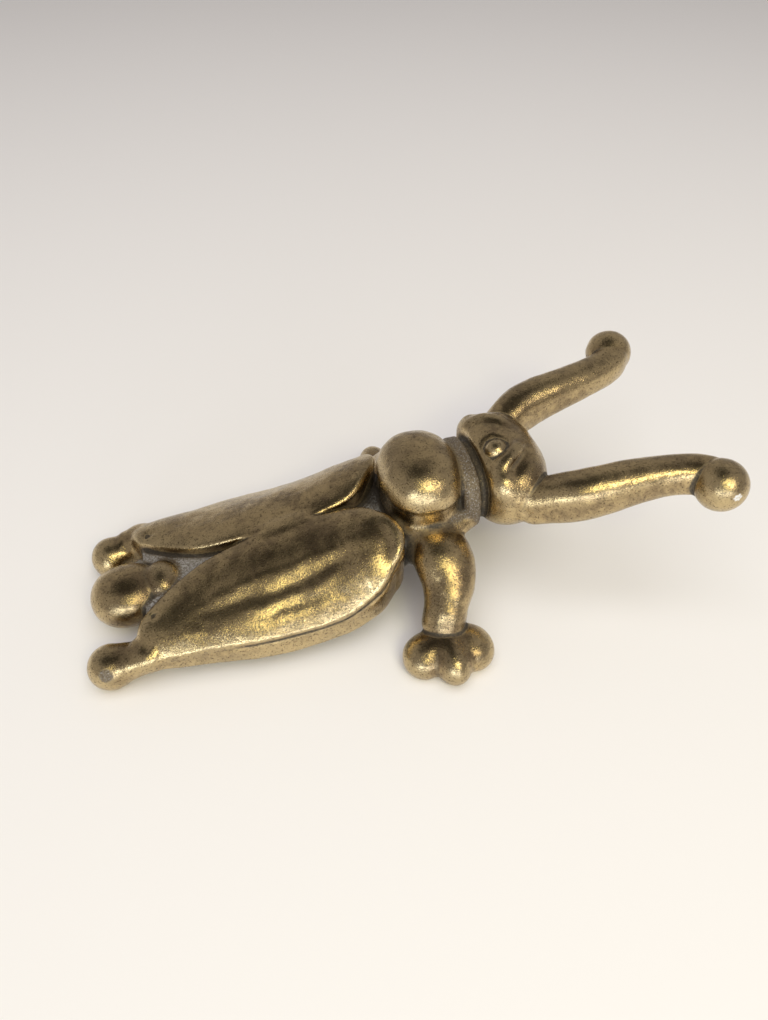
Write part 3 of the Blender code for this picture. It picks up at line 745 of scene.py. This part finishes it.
def brass_material():
    """Aged cast brass: rubbed gold with a painted highlight on high places, olive tarnish, grey-brown grime
    and painted shade in hollows.
    """
    made = bpy.data.materials.new("aged_brass")
    made.use_nodes = True
    tree = made.node_tree
    shader = tree.nodes["Principled BSDF"]
    place = node(tree, "ShaderNodeTexCoord").outputs["Object"]

    def plus(a, b, **more):
        return math_node(tree, "ADD", a, b, **more)

    def times(a, b, **more):
        return math_node(tree, "MULTIPLY", a, b, **more)

    def most(a, b):
        return math_node(tree, "MAXIMUM", a, b)

    # where the grime and painted shade, the wear and painted highlight, and the rough skin are
    crevice = map_range(tree, attribute(tree, "fine"), -0.03, -0.22)
    deep = map_range(tree, attribute(tree, "broad"), -0.12, -1.0)
    proud = map_range(tree, attribute(tree, "broad"), 0.3, 1.5)
    gritty_part = attribute(tree, "grit")
    dirty = map_range(tree, gritty_part, 0.05, 0.5)
    frosty = map_range(tree, gritty_part, 0.62, 0.95)
    blotch = noise(tree, place, BLOTCH_SCALE, 4.0, 0.6)
    mottle = noise(tree, place, MOTTLE_SCALE, 4.0, 0.65)
    grain = noise(tree, place, GRAIN_SCALE, 3.0, 0.65)
    speck = noise(tree, place, SPECK_SCALE, 3.0, 0.65)

    # colour, from the metal outwards
    tarnish = map_range(tree, plus(blotch, times(mottle, 0.6)), 0.66, 0.98)
    colour = mix_colour(tree, tarnish, GOLD, OLIVE)
    # high places lightened: rubbed wear, partly a painted highlight
    colour = mix_colour(tree, times(proud, 0.5), colour, RUBBED_AND_HIGHLIGHT)
    speckle = map_range(tree, speck, 0.53, 0.66)
    colour = mix_colour(tree, times(speckle, 0.7), colour, UMBER)
    colour = mix_colour(tree, times(dirty, 0.85), colour, GRIT)
    frost = times(frosty, map_range(tree, grain, 0.40, 0.56, 0.25, 1.0))
    colour = mix_colour(tree, frost, colour, DUST)
    dark_specks = times(dirty, map_range(tree, speck, 0.46, 0.58))
    colour = mix_colour(tree, times(dark_specks, 0.7), colour, UMBER)
    pale_specks = times(dirty, map_range(tree, grain, 0.55, 0.62))
    colour = mix_colour(tree, times(pale_specks, 0.6), colour, DUST)
    # painted shade: creases and broad hollows darkened towards near-black, together with grime
    dark = most(crevice, times(deep, 0.92))
    dark = times(dark, map_range(tree, speck, 0.25, 0.6, 0.6, 1.2), clamp=True)
    colour = mix_colour(tree, times(dark, 0.94), colour, SOOT_AND_SHADE)
    fleck = map_range(tree, times(attribute(tree, "fleck"), times(speck, 2.0)), 0.72, 0.95)
    colour = mix_colour(tree, fleck, colour, PAINT)
    link(tree, colour, shader.inputs["Base Color"])

    # grime, painted shade and paint are rougher and less metallic
    # mask of grime, painted shade and the paint fleck
    shade_grime_and_paint = most(most(dark, times(dirty, 0.8)), fleck)
    rough = plus(times(mottle, 0.20), 0.14)
    rough = plus(rough, times(shade_grime_and_paint, 0.36))
    rough = plus(rough, times(speckle, 0.08), clamp=True)
    link(tree, rough, shader.inputs["Roughness"])
    metal = math_node(tree, "SUBTRACT", 1.0, times(shade_grime_and_paint, 0.85), clamp=True)
    link(tree, metal, shader.inputs["Metallic"])

    # sand-cast skin
    height = plus(times(mottle, 0.24), times(grain, 0.26))
    pit = map_range(tree, pits(tree, place, PIT_SCALE), 0.0, 0.25)
    height = plus(height, times(pit, 0.14))
    height = plus(height, times(times(speck, gritty_part), 0.5))
    bump = node(tree, "ShaderNodeBump")
    bump.inputs["Strength"].default_value = BUMP_STRENGTH
    bump.inputs["Distance"].default_value = BUMP_DEPTH
    link(tree, height, bump.inputs["Height"])
    link(tree, bump.outputs["Normal"], shader.inputs["Normal"])
    return made


casting.data.materials.append(brass_material())


# ---- Floor, light and camera ---------------------------------------------------------------------
FLOOR_REACH = 3.0
FLOOR_COLOUR, FLOOR_ROUGH = (0.865, 0.85, 0.85), 0.6
ROOM = (0.37, 0.345, 0.33)            # what the brass reflects from the sides, and from overhead
OVERHEAD = (0.05, 0.048, 0.045)
OVERHEAD_WAY = (-0.15, 0.1, 0.98)
LIGHT_TARGET = (0, 0, 0.03)
# name, azimuth and elevation in degrees, distance, size, radiance, colour
WINDOWS = (
    ("warm_window", -83, 45, 1.3, (0.42, 0.26), 10.0, (1.0, 0.95, 0.52)),
    ("pink_window", -70, 40, 1.3, (0.22, 0.30), 6.0, (1.0, 0.84, 0.74)),
    ("cool_window", -122, 9, 1.3, (0.34, 0.30), 9.0, (0.90, 0.97, 1.0)),
    ("low_window", -91, 9, 1.3, (0.50, 0.20), 9.0, (0.94, 0.98, 1.0)),
)
CEILING = ("ceiling_bounce", -100, 76, 1.8, (1.9, 1.9), 2.1, (1.0, 0.985, 0.985))
CAMERA_RIGHT = (0.96381, -0.26501, -0.02894)     # in the body frame
CAMERA_DOWN = (-0.20868, -0.68246, -0.70050)
CAMERA_PLACE = (-36.18, -215.40, 256.59)
CAMERA_LENS = 26.78


def add_floor():
    made = bpy.data.materials.new("pale_floor")
    made.use_nodes = True
    shader = made.node_tree.nodes["Principled BSDF"]
    shader.inputs["Base Color"].default_value = (*FLOOR_COLOUR, 1)
    shader.inputs["Roughness"].default_value = FLOOR_ROUGH
    data = bpy.data.meshes.new("floor")
    data.from_pydata([(-FLOOR_REACH, -FLOOR_REACH, 0), (FLOOR_REACH, -FLOOR_REACH, 0),
                      (FLOOR_REACH, FLOOR_REACH, 0), (-FLOOR_REACH, FLOOR_REACH, 0)],
                     [], [(0, 1, 2, 3)])
    data.materials.append(made)
    floor = bpy.data.objects.new("floor", data)
    bpy.context.scene.collection.objects.link(floor)


def add_world():
    """Plain warm-grey room, dimmer overhead."""
    made = bpy.data.worlds.new("studio")
    bpy.context.scene.world = made
    made.use_nodes = True
    tree = made.node_tree
    back = tree.nodes["Background"]
    look = node(tree, "ShaderNodeTexCoord").outputs["Generated"]
    dot = node(tree, "ShaderNodeVectorMath", operation="DOT_PRODUCT")
    link(tree, look, dot.inputs[0])
    dot.inputs[1].default_value = Vector(OVERHEAD_WAY).normalized()
    above = map_range(tree, dot.outputs["Value"], 0.80, 0.97)
    link(tree, mix_colour(tree, above, ROOM, OVERHEAD), back.inputs["Color"])
    back.inputs["Strength"].default_value = 1.0


def add_panel(name, azimuth, elevation, distance, size, radiance, colour):
    """Area light facing the object from a direction, with its brightness given as radiance."""
    a, e = math.radians(azimuth), math.radians(elevation)
    place = Vector((math.cos(a) * math.cos(e), math.sin(a) * math.cos(e), math.sin(e))) * distance
    data = bpy.data.lights.new(name, "AREA")
    data.shape = "RECTANGLE"
    data.size, data.size_y = size
    data.energy = radiance * math.pi * size[0] * size[1]
    data.color = colour
    made = bpy.data.objects.new(name, data)
    made.location = place
    made.rotation_euler = (Vector(LIGHT_TARGET) - place).to_track_quat("-Z", "Y").to_euler()
    bpy.context.scene.collection.objects.link(made)
    return made


def add_camera():
    """Camera at the photograph's angle, in the body frame and then pitched with it."""
    right = Vector(CAMERA_RIGHT)
    down = Vector(CAMERA_DOWN)
    ahead = right.cross(down)
    turn = Matrix.Rotation(-PITCH, 3, "Y")
    data = bpy.data.cameras.new("camera")
    data.sensor_width = 36.0
    data.lens = CAMERA_LENS
    data.clip_start = 0.01
    made = bpy.data.objects.new("camera", data)
    axes = Matrix((turn @ right, -(turn @ down), -(turn @ ahead))).transposed()
    place = to_world(np.array([CAMERA_PLACE]))[0]
    made.matrix_world = Matrix.Translation(Vector(place.tolist())) @ axes.to_4x4()
    bpy.context.scene.collection.objects.link(made)
    bpy.context.scene.camera = made


add_floor()
add_world()
for window_light in WINDOWS:
    add_panel(*window_light)
# the ceiling lights the floor and the object, but the brass reflects a dark room overhead
add_panel(*CEILING).visible_glossy = False
bpy.context.scene.view_settings.view_transform = "Standard"
add_camera()
